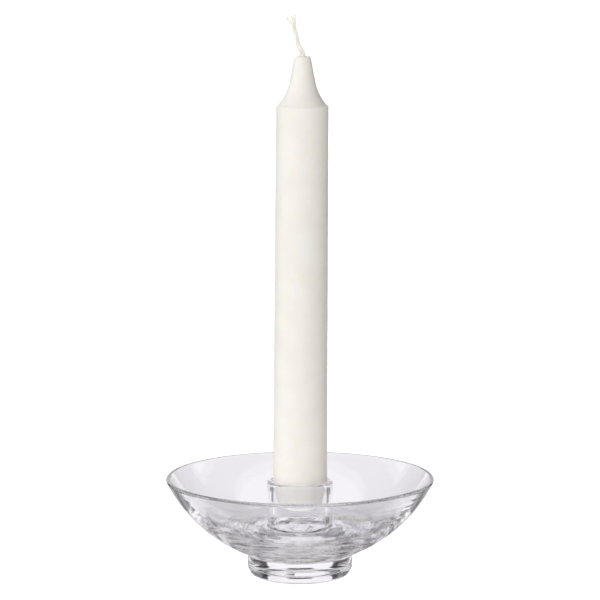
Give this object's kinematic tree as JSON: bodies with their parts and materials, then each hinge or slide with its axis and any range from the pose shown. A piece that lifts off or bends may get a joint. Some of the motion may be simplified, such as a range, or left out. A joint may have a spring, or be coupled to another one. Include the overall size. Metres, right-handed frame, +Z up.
{
  "type": "candle holder",
  "caption": "Clear glass candle holder: a wide drip bowl on a small foot, with a tube socket that holds a crown candle.",
  "frame": {"origin": "on the table, under the centre of the bowl", "axes": "+Z up along the bowl's axis, and the picture is taken from -Y with +X to the right"},
  "size_m": [0.11, 0.11, 0.2306],
  "materials": {
    "clear_glass": "clear, fire-polished",
    "wax": "satin paraffin wax, ivory white",
    "cotton": "braided cotton, lightly waxed"
  },
  "bodies": {
    "holder": {"bowl": "clear_glass", "foot": "clear_glass", "candle_socket": "clear_glass"},
    "candle": {"candle_body": "wax", "wick": "cotton"}
  },
  "joints": [
    {"name": "candle_lift", "type": "slide", "parent": "holder", "child": "candle", "axis": [0, 0, 1], "range_m": [0, 0.04]}
  ]
}
